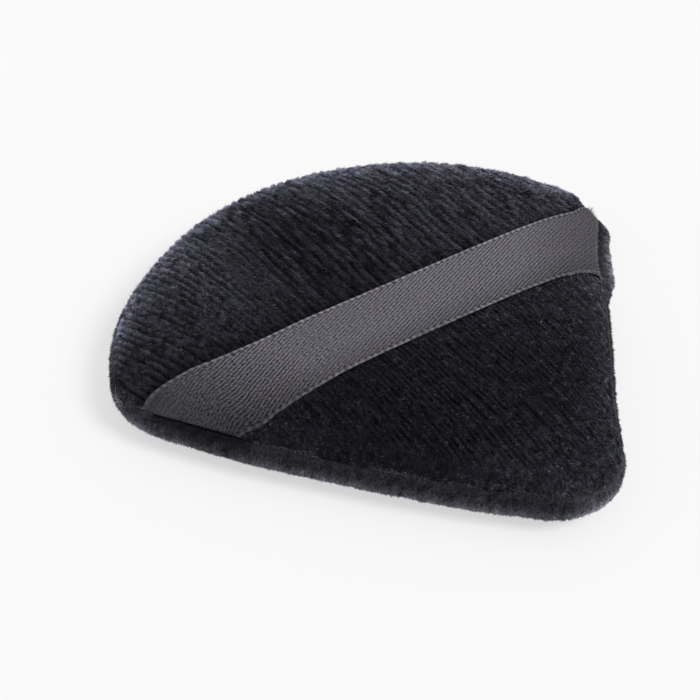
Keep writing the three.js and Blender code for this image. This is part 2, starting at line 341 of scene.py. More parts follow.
def smooth_noise(x, y, seed):
    """Values from -1 to 1 that change smoothly over x and y, about one swell to each unit."""
    table = np.random.default_rng(seed).uniform(-1, 1, (512, 512))
    column, row = np.floor(x).astype(int), np.floor(y).astype(int)
    fx, fy = x - column, y - row
    fx, fy = fx * fx * (3 - 2 * fx), fy * fy * (3 - 2 * fy)

    def corner(dx, dy):
        return table[(column + dx) % 512, (row + dy) % 512]

    near = corner(0, 0) * (1 - fx) + corner(1, 0) * fx
    far = corner(0, 1) * (1 - fx) + corner(1, 1) * fx
    return near * (1 - fy) + far * fy


def plush_pile(x, y, pitch, parted, whole, run, seed):
    """Height of the pile, from about 0 in a parting between two ribs to 1 on a full tuft.

    The partings are broken up into pits that are about as long as run, or longer where whole is 1."""
    sway = 0.3 * smooth_noise(x / (8 * mm), y / (13 * mm), seed)
    sway += 0.12 * smooth_noise(x / (2 * mm), y / (3 * mm), seed + 1)
    parting = hump((x / pitch + sway) % 1, 0.5, 0.22)
    broken = np.clip(whole + 0.7 * smooth_noise(x / (0.9 * mm), y / run, seed + 2), 0, 1)
    tuft = smooth_noise(x / (0.4 * mm), y / (0.5 * run), seed + 3)
    wisp = smooth_noise(x / (0.3 * mm), y / (0.4 * mm), seed + 4)
    return np.clip(0.85 - parted * parting * broken + 0.15 * tuft + 0.1 * wisp, 0, 1)


def mesh_piece(name, points, faces):
    """A piece of the puff, smooth shaded."""
    mesh = bpy.data.meshes.new(name)
    mesh.from_pydata(np.asarray(points).tolist(), [], [list(map(int, face)) for face in faces])
    mesh.polygons.foreach_set("use_smooth", np.ones(len(mesh.polygons), bool))
    piece = bpy.data.objects.new(name, mesh)
    bpy.context.collection.objects.link(piece)
    return piece


def store(piece, name, values):
    """Keeps a value for each point of a piece, with 0 on the points that values leaves out."""
    full = np.zeros(len(piece.data.vertices), np.float32)
    full[:len(values)] = values
    piece.data.attributes.new(name, "FLOAT", "POINT").data.foreach_set("value", full)


def bake_map(piece, flat):
    """Lays the piece out flat for baking, from one place in the unit square for each point."""
    corners = np.empty(len(piece.data.loops), np.int32)
    piece.data.loops.foreach_get("vertex_index", corners)
    layer = piece.data.uv_layers.new(name="OFBake")
    layer.data.foreach_set("uv", np.ascontiguousarray(flat[corners], np.float32).ravel())


def panel_piece(name, outer, lip_insets, lip_heights, inner, up):
    """A closed velour panel: fine outer face, turned-in edge and plain back."""
    around = round_net(coarse_cells)[1][net_edge(coarse_cells)]
    spots = round_values(outline, around)
    ways = round_values(outline_facing, around)
    points = [outer]
    rings = []
    count = len(outer)
    for inset, height in zip(lip_insets, lip_heights):
        plan = spots - ways * inset
        points.append(np.column_stack((plan, np.full(len(plan), height))))
        rings.append(count + np.arange(len(plan)))
        count += len(plan)
    points.append(inner)
    rings.append(count + net_edge(coarse_cells))
    faces = net_faces(fine_cells).tolist()
    border = net_edge(fine_cells)
    ratio = fine_cells // coarse_cells
    for k, start in enumerate(rings[0]):
        after = rings[0][(k + 1) % len(rings[0])]
        for step in range(ratio):
            a = border[k * ratio + step]
            b = border[(k * ratio + step + 1) % len(border)]
            faces.append((b, a, start if step < ratio // 2 else after))
        faces.append((border[k * ratio + ratio // 2], start, after))
    for ring, following in zip(rings, rings[1:]):
        for k in range(len(ring)):
            m = (k + 1) % len(ring)
            faces.append((ring[m], ring[k], following[k], following[m]))
    faces += (net_faces(coarse_cells)[:, ::-1] + count).tolist()
    if not up:
        faces = [face[::-1] for face in faces]
    piece = mesh_piece(name, np.vstack(points), faces)
    flat = np.zeros((len(piece.data.vertices), 2))
    flat[:len(outer)] = 0.005 + 0.89 * net_square(fine_cells)
    flat[count:] = (0.91, 0.005) + 0.08 * net_square(coarse_cells)
    for k, ring in enumerate(rings[:-1]):
        flat[ring, 0] = 0.91 + 0.03 * k
        flat[ring, 1] = np.linspace(0.2, 0.9, len(ring))
    bake_map(piece, flat)
    return piece


def node_group(name, inputs, outputs):
    """An empty shader node group with named sockets."""
    group = bpy.data.node_groups.new(name, "ShaderNodeTree")
    for label, kind in inputs:
        group.interface.new_socket(label, in_out="INPUT", socket_type=kind)
    for label, kind in outputs:
        group.interface.new_socket(label, in_out="OUTPUT", socket_type=kind)
    return group, group.nodes.new("NodeGroupInput"), group.nodes.new("NodeGroupOutput")


def worked(tree, operation, first, *others):
    """Two values added, multiplied or the like, or more of them one after the other."""
    for other in others:
        node = tree.nodes.new("ShaderNodeMath")
        node.operation = operation
        for socket, value in zip(node.inputs, (first, other)):
            if isinstance(value, (int, float)):
                socket.default_value = value
            else:
                tree.links.new(value, socket)
        first = node.outputs[0]
    return first


def weighed(tree, first, share, second):
    """Two values mixed, with this share of the first."""
    rest = worked(tree, "MULTIPLY", second, 1 - share)
    return worked(tree, "ADD", worked(tree, "MULTIPLY", first, share), rest)


def spread(tree, value, low, high, to_low, to_high):
    """A value taken from the range low to high into another range, and held at its ends."""
    node = tree.nodes.new("ShaderNodeMapRange")
    node.inputs["From Min"].default_value = low
    node.inputs["From Max"].default_value = high
    node.inputs["To Min"].default_value = to_low
    node.inputs["To Max"].default_value = to_high
    tree.links.new(value, node.inputs["Value"])
    return node.outputs["Result"]


def cloudy(tree, place, scale, detail=2.0, roughness=0.5):
    """A value that varies unevenly from place to place."""
    node = tree.nodes.new("ShaderNodeTexNoise")
    node.inputs["Scale"].default_value = scale
    node.inputs["Detail"].default_value = detail
    node.inputs["Roughness"].default_value = roughness
    tree.links.new(place, node.inputs["Vector"])
    return node.outputs["Fac"]


def mixed(tree, factor, first, second, blend="MIX"):
    """Two colours mixed, or put together in another way."""
    node = tree.nodes.new("ShaderNodeMix")
    node.data_type = "RGBA"
    node.blend_type = blend
    for socket, value in ((node.inputs[0], factor), (node.inputs[6], first), (node.inputs[7], second)):
        if isinstance(value, (tuple, float, int)):
            socket.default_value = value
        else:
            tree.links.new(value, socket)
    return node.outputs[2]


def shaded(tree, colour, value):
    """A colour made darker or paler by a value."""
    grey = tree.nodes.new("ShaderNodeCombineColor")
    for socket in grey.inputs[:3]:
        tree.links.new(value, socket)
    return mixed(tree, 1.0, colour, grey.outputs[0], "MULTIPLY")


def bumped(tree, shader, height, strength, distance):
    """Fine relief that is too small for the mesh."""
    bump = tree.nodes.new("ShaderNodeBump")
    bump.inputs["Strength"].default_value = strength
    bump.inputs["Distance"].default_value = distance
    tree.links.new(height, bump.inputs["Height"])
    tree.links.new(bump.outputs["Normal"], shader.inputs["Normal"])


def new_material(name):
    """A new material, with its node tree and its shader."""
    material = bpy.data.materials.new(name)
    material.use_nodes = True
    return material, material.node_tree, material.node_tree.nodes["Principled BSDF"]


def stored(tree, name):
    """A value that was kept for each point of the piece."""
    node = tree.nodes.new("ShaderNodeAttribute")
    node.attribute_name = name
    return node.outputs["Fac"]


def fleck_group():
    """Fine fibre ends of a cut pile, as a shade and as a height, and its uneven dye."""
    group, given, result = node_group(
        "pile_flecks", [("Place", "NodeSocketVector")],
        [("Shade", "NodeSocketFloat"), ("Height", "NodeSocketFloat"), ("Dye", "NodeSocketFloat")],
    )
    place = given.outputs["Place"]
    fibre = cloudy(group, place, 3600, 2, 0.6)
    clump = cloudy(group, place, 900, 2, 0.5)
    patch = cloudy(group, place, 500, 2, 0.6)
    shade = weighed(group, fibre, 0.65, clump)
    group.links.new(spread(group, shade, 0.34, 0.66, 0, 1), result.inputs["Shade"])
    group.links.new(fibre, result.inputs["Height"])
    group.links.new(spread(group, patch, 0.36, 0.64, 0, 1), result.inputs["Dye"])
    return group


pile_flecks = fleck_group()


def velour_material(name, deep, crest):
    """Cut pile with painted shade and light: darkest in the partings, paler at the fibre ends and where
    light is painted, with a sheen at low angles.
    """
    material, tree, shader = new_material(name)
    coordinates = tree.nodes.new("ShaderNodeTexCoord")
    flecks = tree.nodes.new("ShaderNodeGroup")
    flecks.node_tree = pile_flecks
    tree.links.new(coordinates.outputs["Object"], flecks.inputs["Place"])
    colour = mixed(tree, spread(tree, stored(tree, "pile"), 0, 10, 0, 1), deep, crest)
    dye = mixed(tree, flecks.outputs["Dye"], (1.03, 1.0, 0.96, 1), (0.97, 1.0, 1.05, 1))
    colour = mixed(tree, 1.0, colour, dye, "MULTIPLY")
    colour = shaded(tree, colour, spread(tree, flecks.outputs["Shade"], 0, 1, 0.5, 1.5))
    tree.links.new(colour, shader.inputs["Base Color"])
    bumped(tree, shader, flecks.outputs["Height"], 0.7, 0.18 * mm)
    tree.links.new(spread(tree, flecks.outputs["Shade"], 0, 1, 1.0, 0.8), shader.inputs["Roughness"])
    shader.inputs["Specular IOR Level"].default_value = 0.06
    shader.inputs["Sheen Weight"].default_value = 0.09
    shader.inputs["Sheen Roughness"].default_value = 0.4
    shader.inputs["Sheen Tint"].default_value = (0.6, 0.62, 0.72, 1)
    return material


def spikes(name, root, aim, reach, stout, shade, rng):
    """Slim closed spikes, each with its shade at the root and at the tip."""
    count = len(root)
    first = np.cross(aim, rng.normal(size=(count, 3)))
    first /= np.linalg.norm(first, axis=1)[:, None]
    second = np.cross(aim, first)
    ends = []
    for turn in (0, 2 * math.pi / 3, 4 * math.pi / 3):
        ends.append(root + (math.cos(turn) * first + math.sin(turn) * second) * stout[:, None])
    ends.append(root + aim * reach[:, None])
    points = np.stack(ends, axis=1).reshape(-1, 3)
    points[:, 2] = np.maximum(points[:, 2], 0)
    base = 4 * np.arange(count)[:, None]
    sides = ((0, 1, 3), (1, 2, 3), (2, 0, 3), (0, 2, 1))
    sides = np.concatenate([base + np.array(face) for face in sides])
    piece = mesh_piece(name, points, sides)
    piece.data.polygons.foreach_set("use_smooth", np.zeros(len(sides), bool))
    store(piece, "pile", shade[:, (0, 0, 0, 1)].ravel())
    wide = math.ceil(math.sqrt(count))
    cell = np.column_stack((np.arange(count) % wide, np.arange(count) // wide))
    spread_out = np.array(((0.1, 0.1), (0.9, 0.1), (0.5, 0.3), (0.5, 0.95)))
    bake_map(piece, ((cell[:, None] + spread_out) / wide).reshape(-1, 2))
    return piece


def pile_tufts(
    name, count, panel, chance, tone, nap, length, width, lean, slew, vary, clump, streak, seed,
):
    """Tufts of a cut pile, rooted in a panel's face and lying with the nap.

    They lean over by lean and swing aside by slew. Their shade varies by vary from tuft to tuft, and
    by streak from one clump to the next."""
    points, facing, height = panel
    rng = np.random.default_rng(seed)
    faces = net_faces(fine_cells)
    corner = [points[faces[:, k]] for k in range(4)]
    area = np.linalg.norm(np.cross(corner[2] - corner[0], corner[3] - corner[1]), axis=1)
    weight = area * chance[faces].mean(axis=1)
    pick = rng.choice(len(faces), count, p=weight / weight.sum())
    u, v = rng.random((2, count))
    shares = ((1 - u) * (1 - v), u * (1 - v), u * v, (1 - u) * v)

    def here(values):
        part = [values[faces[pick, k]] for k in range(4)]
        return sum((s[:, None] if values.ndim > 1 else s) * p for s, p in zip(shares, part))

    root = here(points)
    up = here(facing)
    up /= np.linalg.norm(up, axis=1)[:, None]
    tall = here(height)
    way = here(nap)
    way -= up * (way * up).sum(axis=1)[:, None]
    way /= np.maximum(np.linalg.norm(way, axis=1), 1e-9)[:, None]
    side = np.cross(up, way)
    clump_x, clump_y = root[:, 0] / clump[0], root[:, 1] / clump[1]
    tilt = lean * (1 + 0.25 * smooth_noise(clump_x, clump_y, seed + 1)) + 0.12 * rng.normal(size=count)
    turn = slew * (smooth_noise(clump_x, clump_y, seed + 2) + rng.normal(size=count))
    level = way * np.cos(turn)[:, None] + side * np.sin(turn)[:, None]
    aim = up * np.cos(tilt)[:, None] + level * np.sin(tilt)[:, None]
    reach = length * rng.uniform(0.6, 1.2, count) * (0.45 + 0.55 * tall)
    streaky = np.maximum(1 + streak * smooth_noise(clump_x, clump_y, seed + 3), 0.1)
    # Painted shade and light: tufts low in the partings are darker, the tone paints light on them, and
    # each root is darker than its tip.
    bright = tall ** 1.4 * here(tone) * streaky
    bright *= np.minimum(np.exp(vary * rng.normal(size=count) - vary ** 2 / 2), 2.1)
    stout = width * rng.uniform(0.7, 1.3, count)
    shade = np.column_stack((0.35 * bright, bright))
    return spikes(name, root - up * tuft_root, aim, reach, stout, shade, rng)


cloth_share, cloth_around = round_net(cloth_cells)
cloth_points = upper_places(cloth_share, cloth_around)
cloth_low, cloth_high = ribbon_edges(cloth_points[:, 0])
held = (cloth_share > 0.9) | ((cloth_points[:, 1] > cloth_low) & (cloth_points[:, 1] < cloth_high))
swell = np.zeros_like(cloth_points)
swell = swollen(cloth_points, net_faces(cloth_cells), held)

net_share, net_around = round_net(fine_cells)
upper_base = upper_places(net_share, net_around)
upper_facing = facing_of(upper_base, net_faces(fine_cells))
upper_flat = (round_values(outline, net_around) - panel_middle) * net_share[:, None]
upper_flat *= crown_length / mean_reach
under_low, under_high = ribbon_edges(upper_base[:, 0])
behind_ribbon = upper_base[:, 1] > (under_low + under_high) / 2
off_ribbon = np.maximum(upper_base[:, 1] - under_high, under_low - upper_base[:, 1])
edge_run = (1 - net_share) * crown_length
flat_x, flat_y = upper_flat.T
fan = 0.25 * eased(flat_x, -12 * mm, -30 * mm)  # the ribs spread at the left corner
fanned_x = flat_x + fan * (flat_y - 20 * mm)
crimped = eased(flat_x, -9 * mm, -22 * mm)  # and are broken into short waves there
back_parted = 0.98 - 0.1 * eased(edge_run, 9 * mm, 3 * mm) * eased(upper_base[:, 0], -14 * mm, -24 * mm)
long_ribs = plush_pile(fanned_x, flat_y, back_rib_pitch, back_parted, whole=0.95, run=3 * mm, seed=10)
short_ribs = plush_pile(
    fanned_x, flat_y, 0.85 * back_rib_pitch, back_parted, whole=0.75, run=1.8 * mm, seed=15)
back_ribs = long_ribs + (short_ribs - long_ribs) * crimped
tip_parted = 0.95 - 0.6 * eased(edge_run, 6 * mm, 2 * mm)
tip_curls = plush_pile(flat_x, flat_y, tip_rib_pitch, tip_parted, whole=0.65, run=0.8 * mm, seed=20)
tip_ribs = plush_pile(
    flat_x, flat_y, back_rib_pitch, 0.8 * tip_parted, whole=0.5, run=1.8 * mm, seed=25)
upper_pile = np.where(behind_ribbon, back_ribs, np.minimum(tip_curls, tip_ribs))
channel = eased(off_ribbon, 0.09 * mm, -0.51 * mm)
upper_swell = np.column_stack([finer(swell[:, k], cloth_cells, fine_cells) for k in range(3)])
from_seam = eased(edge_run, 0, seam_fade)
pile_depth = np.where(behind_ribbon, back_pile_depth, tip_pile_depth)
pile_depth *= 1 - 0.5 * eased(edge_run, 5 * mm, 1 * mm)
lift = ((upper_pile - 1) * pile_depth - pile_stand) * from_seam
lift = lift * (1 - channel) - (ribbon_channel * from_seam + ribbon_dip(upper_base[:, 0])) * channel
upper_points = upper_base + upper_swell * (1 - channel)[:, None] + upper_facing * lift[:, None]
upper_x, upper_y = upper_base[:, 0] / mm, upper_base[:, 1] / mm
from_edge = (1 - np.interp(net_share, crown_runs, share_steps)) * mean_reach / mm
back_painted_light = 1.2 + 1.9 * eased(upper_x, -6, 30)  # painted light behind the ribbon, paler to the right
back_painted_light += 0.5 * hump(upper_x, 8, 9) * eased(upper_y, 11, 16)  # with three patches of painted light
back_painted_light += 1.1 * hump(upper_x, -19, 8) * eased(upper_y, 7, 12)
back_painted_light += 0.5 * eased(upper_x, -22, -28) * hump(upper_y, 14, 4)
lit_edge = 8 + 5 * eased(upper_x, -10, 10) - 3.5 * eased(upper_x, -18, -26)
lit_edge += 3 * hump(upper_x, -12, 9)
lit_edge = lit_edge * np.exp(-from_edge / 4.2) + 13 * np.exp(-from_edge / 1.3)
lit_corner = 0.7 * eased(upper_x, 30, 35) * eased(upper_y, 8, 12)
lit_share = np.maximum(eased(upper_y, 12.5, 24.5), lit_corner)
back_painted_light += lit_edge * lit_share  # the back edge catches the light
tip_painted_light = 0.66 + 0.24 * eased(upper_x, -2, 12) + 0.42 * eased(upper_x, 9, 20)  # painted light and shade in front of the ribbon, darker in front
tip_painted_light += 0.42 * eased(upper_y, -25, -34)  # but paler at the tip and along the edge
tip_painted_light += 0.6 * np.exp(-from_edge / 1.8) * eased(upper_x, 2, 10)
tip_painted_light += 0.2 * eased(upper_x, -22, -27) - 0.18 * eased(upper_x, -7, -15)
tip_painted_light += 0.25 * eased(upper_y, -13, -9) * eased(upper_x, -10, 0)
tip_painted_light += eased(upper_x, 20, 28) * eased(upper_y, -24, -16)
# Painted shade beside the ribbon's upper edge, away from its middle.
beside_ribbon = eased(off_ribbon, 3 * mm, 0) * (1 - hump(upper_x, 2, 8))
back_painted_light *= 1 - 0.6 * beside_ribbon
# Painted shade in the channel under the ribbon's edges.
upper_tone = np.where(behind_ribbon, back_painted_light, tip_painted_light) * (1 - 0.5 * channel)

inner_share, inner_around = round_net(coarse_cells)
inner_rise = crown_rise - velour_thickness
inner_edge = (1 - (allowance_thickness / inner_rise) ** 2) ** (1 / crown_power)
inner_out = np.minimum(np.interp(inner_share, crown_runs, share_steps), inner_edge)
inner_facing = round_values(outline_facing, inner_around)
inner_spots = round_values(outline, inner_around) - velour_thickness * inner_facing
inner_plan = panel_middle + (inner_spots - panel_middle) * inner_out[:, None]
inner_height = inner_rise * np.sqrt(1 - inner_out ** crown_power)
upper_velour = panel_piece(
    "upper_velour", upper_points, (allowance, allowance),
    (seam_z + half_gap, seam_z + half_gap + allowance_thickness),
    np.column_stack((inner_plan, seam_z + half_gap + inner_height)), True,
)
# The stored value is painted shade and light: darker in the partings and in front of the ribbon, with
# the tones' painted light.
store(upper_velour, "pile", np.where(behind_ribbon, 0.5, 0.35) * upper_pile * upper_tone)
upper_plush = velour_material("upper_plush", pile_black, (0.59, 0.595, 0.74, 1))
upper_velour.data.materials.append(upper_plush)
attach(upper_velour, "puff")
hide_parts("upper_cover")

to_tip_nap = np.broadcast_to(np.array((0.1, -1, 0)), upper_points.shape)
fanned_nap = to_tip_nap + fan[:, None] * (1, 0, 0)
upper_panel = (upper_points, upper_facing, upper_pile)
on_ribs = np.clip(upper_pile * 2.6 - 1.2, 0.01, 1)
on_ribs *= off_ribbon > np.where(behind_ribbon, 0.2 * mm, -0.15 * mm)
on_left = upper_base[:, 0] < 0
back_pile = on_ribs * behind_ribbon
upper_tufts = []
for side_word, tuft_count, side_chance, side_seed in (
    ("middle", 26000, on_left * (1 - crimped), 60),
    ("right", 42000, ~on_left, 64),
):
    upper_tufts.append(pile_tufts(
        "upper_pile_back_" + side_word, tuft_count, upper_panel, back_pile * side_chance, upper_tone,
        to_tip_nap, length=0.9 * mm, width=0.105 * mm, lean=1.15, slew=0.07, vary=0.4,
        clump=(0.22 * mm, 2.0 * mm), streak=1.0, seed=side_seed,
    ))
upper_tufts.append(pile_tufts(
    "upper_pile_back_left", 26000, upper_panel, back_pile * on_left * crimped, upper_tone, fanned_nap,
    length=0.7 * mm, width=0.105 * mm, lean=1.1, slew=0.2, vary=0.4,
    clump=(0.26 * mm, 0.8 * mm), streak=1.0, seed=66,
))
upper_tufts.append(pile_tufts(
    "upper_pile_tip", 38000, upper_panel, on_ribs * ~behind_ribbon, upper_tone, to_tip_nap,
    length=0.5 * mm, width=0.125 * mm, lean=0.95, slew=0.8, vary=0.5,
    clump=(0.3 * mm, 0.4 * mm), streak=1.35, seed=70,
))
upper_tufts.append(pile_tufts(
    "upper_pile_pressed", 12000, upper_panel, (off_ribbon <= 0) * from_seam, upper_tone, to_tip_nap,
    length=0.6 * mm, width=0.1 * mm, lean=1.4, slew=0.3, vary=0.3,
    clump=(0.35 * mm, 1.0 * mm), streak=0.5, seed=75,
))
for pile_piece in upper_tufts:
    pile_piece.data.materials.append(upper_plush)
    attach(pile_piece, "puff")

# Ribbon: stock half-inch satin ribbon with corded selvedges, its ends caught in the side seams.
# It is made as two halves that meet in the middle, because each half bends from the seam upwards.
ribbon_thickness = 0.2 * mm
ribbon_stand = 0.05 * mm
ribbon_fold = 0.6 * mm
ribbon_lap = 0.03 * mm  # the halves run into each other by this much
ribbon_columns = 301
edge_rows = np.linspace(0, 1, 15) * mm
ribbon_rows = np.concatenate((
    edge_rows, np.linspace(1 * mm, ribbon_width - 1 * mm, 66)[1:-1], ribbon_width - edge_rows[::-1],
))
twill_slant = math.radians(23)
twill_pitch = 0.49 * mm
twill_height = 0.004 * mm
bead_pitch = 1.05 * mm
cord_radius = 0.24 * mm
cord_height = 0.17 * mm
stitch_inset = 0.52 * mm
stitch_width = 0.12 * mm
stitch_depth = 0.06 * mm
satin_dark = (0.01, 0.0095, 0.0115, 1)
satin_pale = (0.208, 0.195, 0.23, 1)
bead_dark = (0.05, 0.047, 0.056, 1)
bead_pale = (0.29, 0.272, 0.315, 1)
stitch_black = (0.005, 0.005, 0.006, 1)
outline_angle = np.unwrap(np.arctan2(*(outline - panel_middle).T[::-1]))
outline_reach = np.linalg.norm(outline - panel_middle, axis=1)


def crown_at(x, y):
    """Height of the upper panel's outer face over the seam."""
    angle = np.arctan2(y - panel_middle[1], x)
    angle = outline_angle[0] + (angle - outline_angle[0]) % (2 * math.pi)
    reach = np.interp(angle, np.append(outline_angle, outline_angle[0] + 2 * math.pi),
                      np.append(outline_reach, outline_reach[0]))
    out = np.hypot(x, y - panel_middle[1]) / reach
    return half_gap + crown_rise * np.sqrt(np.clip(1 - out ** crown_power, 0, 1))


def ribbon_line(side, share):
    """Evenly spaced points along the ribbon at one place across it, from its tail to the middle."""
    half = len(outline) // 2
    edge_points = outline[:half] if side > 0 else outline[:half:-1]
    edge_facing = outline_facing[:half] if side > 0 else outline_facing[:half:-1]
    edge = upper_high[0]
    for _ in range(3):
        low, high = ribbon_edges(side * edge)
        end_y = low + (high - low) * share
        edge = abs(np.interp(end_y, edge_points[:, 1], edge_points[:, 0]))
    facing = abs(np.interp(end_y, edge_points[:, 1], edge_facing[:, 0]))
    outside = edge + ribbon_stand / facing
    bend = np.linspace(0, math.pi / 2, 12)
    x = [np.array([edge - allowance / facing]), outside - ribbon_fold * (1 - np.sin(bend))]
    z = [np.zeros(1), ribbon_fold * (1 - np.cos(bend))]
    over = edge * np.sin(np.linspace(math.pi / 2, -ribbon_lap / edge, 300))
    over = over[over < 0.985 * edge]
    low, high = ribbon_edges(side * over)
    over_y = low + (high - low) * share
    x.append(over)
    z.append(crown_at(side * over, over_y) + ribbon_stand - ribbon_dip(side * over))
    y = np.concatenate((np.full(13, end_y), over_y))
    x, z = np.concatenate(x), np.concatenate(z)
    run = np.append(0, np.cumsum(np.hypot(np.diff(x), np.diff(z))))
    even = np.linspace(0, run[-1], ribbon_columns)
    return np.interp(even, run, x), np.interp(even, run, y), np.interp(even, run, z), even


def ribbon_half(name, side):
    """One half of the ribbon as a closed mesh, and its length laid flat."""
    lines = [ribbon_line(side, row / ribbon_width) for row in ribbon_rows]
    x, y, z, along = (np.array(part) for part in zip(*lines))
    along = along - along[:, -1:]
    dx, dz = np.gradient(x, axis=1), np.gradient(z, axis=1)
    length = np.hypot(dx, dz)
    from_edge = np.minimum(ribbon_rows, ribbon_width - ribbon_rows)[:, None]
    across = (ribbon_rows - ribbon_width / 2)[:, None] + np.zeros_like(x)
    bead_turn = 2 * math.pi * (along - 0.3 * from_edge) / bead_pitch
    bead = 0.5 + 0.5 * np.sin(bead_turn)
    cord = np.sqrt(np.clip(1 - ((from_edge - cord_radius) / cord_radius) ** 2, 0, 1))
    stitch = hump(from_edge, stitch_inset, stitch_width) * np.clip(0.85 - 1.2 * np.sin(bead_turn), 0, 1)
    if side < 0:
        stitch *= eased(along, -37 * mm, -31 * mm)
    slanting = across * math.cos(twill_slant) + side * along * math.sin(twill_slant)
    twill = np.sin(2 * math.pi * slanting / twill_pitch) * (from_edge > 0.6 * mm)
    web = ribbon_thickness / 2 * np.minimum(1, 0.2 + from_edge / (0.3 * mm))
    half = np.maximum(web, cord_height * cord * (0.75 + 0.25 * bead))
    half += twill_height * twill - stitch_depth * stitch
    out_x, out_z = dz / length, -dx / length
    faces_of = []
    for way in (1, -1):
        px, pz = x + way * out_x * half, seam_z + z + way * out_z * half
        faces_of.append(np.column_stack((side * px.ravel(), y.ravel(), pz.ravel())))
    count = x.size
    rows = len(ribbon_rows)
    i, j = np.meshgrid(range(rows - 1), range(ribbon_columns - 1), indexing="ij")
    a = (i * ribbon_columns + j).ravel()
    quads = np.column_stack((a, a + ribbon_columns, a + ribbon_columns + 1, a + 1))
    starts = np.arange(rows) * ribbon_columns
    border = np.concatenate((
        np.arange(ribbon_columns - 1), starts[:-1] + ribbon_columns - 1,
        starts[-1] + np.arange(ribbon_columns - 1, 0, -1), starts[:0:-1],
    ))
    after = np.roll(border, -1)
    rim = np.column_stack((after, border, border + count, after + count))
    faces = np.vstack((quads, quads[:, ::-1] + count, rim))
    if side < 0:
        faces = faces[:, ::-1]
    piece = mesh_piece(name, np.vstack(faces_of), faces)
    for label, values in (
        ("along", -side * along), ("across", across), ("stitch", stitch), ("bead", bead),
    ):
        store(piece, label, np.tile(values.ravel(), 2))
    flat = np.column_stack((
        np.broadcast_to(np.linspace(0.01, 0.99, ribbon_columns), x.shape).ravel(),
        0.01 + 0.47 * np.broadcast_to(ribbon_rows[:, None] / ribbon_width, x.shape).ravel(),
    ))
    bake_map(piece, np.vstack((flat, flat + (0, 0.5))))
    return piece, float(np.mean(-along[:, 0]))


def ribbon_material():
    """Satin: fine slanting lines broken up by its floats, with beaded edges and a row of stitches."""
    material, tree, shader = new_material("ribbon_satin")
    along, across = stored(tree, "along"), stored(tree, "across")
    up_slant = worked(tree, "MULTIPLY", across, math.cos(twill_slant))
    over = worked(tree, "SUBTRACT", up_slant, worked(tree, "MULTIPLY", along, math.sin(twill_slant)))

    def between(start, end, first, last):
        """A value that changes from first to last between two places along the ribbon."""
        return spread(tree, along, start * mm, end * mm, first, last)

    def uneven(along_scale, across_scale, low, high):
        """A value that varies at one scale along the ribbon and at another across it."""
        spot = tree.nodes.new("ShaderNodeCombineXYZ")
        tree.links.new(worked(tree, "MULTIPLY", along, along_scale), spot.inputs[0])
        tree.links.new(worked(tree, "MULTIPLY", across, across_scale), spot.inputs[1])
        return spread(tree, cloudy(tree, spot.outputs[0], 1, 1, 0.5), 0.3, 0.7, low, high)

    sway = uneven(200, 500, -0.4, 0.4)
    turns = worked(tree, "ADD", worked(tree, "MULTIPLY", over, 2 * math.pi / twill_pitch), sway)
    line = worked(
        tree, "MULTIPLY", worked(tree, "SINE", turns, 0), uneven(600, 1500, 0.24, 0.42),
        between(16, 30, 1, 0.4), between(-36, -30, 0.25, 1.2),
        between(-25, -17, 1, 0.5), between(-13, -3, 1, 1.7),
    )
    grain = worked(tree, "MULTIPLY", uneven(2300, 4900, -0.32, 0.32), between(-30, -12, 1.9, 1.1))
    floats = worked(tree, "MULTIPLY", worked(tree, "ADD", line, grain), between(-38, -34, 0.3, 1))
    threads = worked(tree, "MULTIPLY", uneven(250, 4200, -0.3, 0.3), between(-38, -35, 1, 0))
    shade = worked(tree, "ADD", floats, threads, 0.52)
    colour = mixed(tree, shade, satin_dark, satin_pale)
    bead_shade = worked(tree, "MULTIPLY", stored(tree, "bead"), 0.7)
    bead_shade = worked(tree, "ADD", bead_shade, uneven(1200, 2600, -0.1, 0.6))
    beaded = mixed(tree, bead_shade, bead_dark, bead_pale)
    hem = spread(tree, worked(tree, "ABSOLUTE", across, 0), 5.4 * mm, 5.6 * mm, 0, 0.85)
    colour = mixed(tree, hem, colour, beaded)
    sewn = worked(tree, "MULTIPLY", stored(tree, "stitch"), uneven(420, 300, 0.5, 1.1))
    colour = mixed(tree, sewn, colour, stitch_black)
    # Painted shade: darker towards both ends, where the ribbon bends down over the edges, and along its
    # lower part; painted light, a little paler from the middle rightwards.
    slanted = worked(tree, "ADD", along, worked(tree, "MULTIPLY", across, 0.6))
    ribbon_painted_shade = worked(
        tree, "MULTIPLY",
        spread(tree, slanted, -35 * mm, -20 * mm, 0.33, 0.94), between(-24, 4, 0.97, 1.14),
        spread(tree, worked(tree, "SUBTRACT", along, across), 17 * mm, 36 * mm, 1, 0.4),
        spread(tree, across, -5.5 * mm, -1.5 * mm, 0.66, 1),
    )
    tree.links.new(shaded(tree, colour, ribbon_painted_shade), shader.inputs["Base Color"])
    bumped(tree, shader, shade, 0.6, 0.06 * mm)
    matt = worked(tree, "MULTIPLY", spread(tree, shade, 0, 1, 0.55, 0.42), between(20, 34, 1, 1.8))
    tree.links.new(matt, shader.inputs["Roughness"])
    shader.inputs["Specular IOR Level"].default_value = 0.2
    shader.inputs["Anisotropic"].default_value = 0.7
    shader.inputs["Anisotropic Rotation"].default_value = 0.25  # the gloss spreads across the floats
    return material


satin = ribbon_material()
for half_name, half_side in (("ribbon_left", -1), ("ribbon_right", 1)):
    half_piece, half_length = ribbon_half(half_name, half_side)
    half_piece.data.materials.append(satin)
    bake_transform(half_piece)
    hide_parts("ribbon")

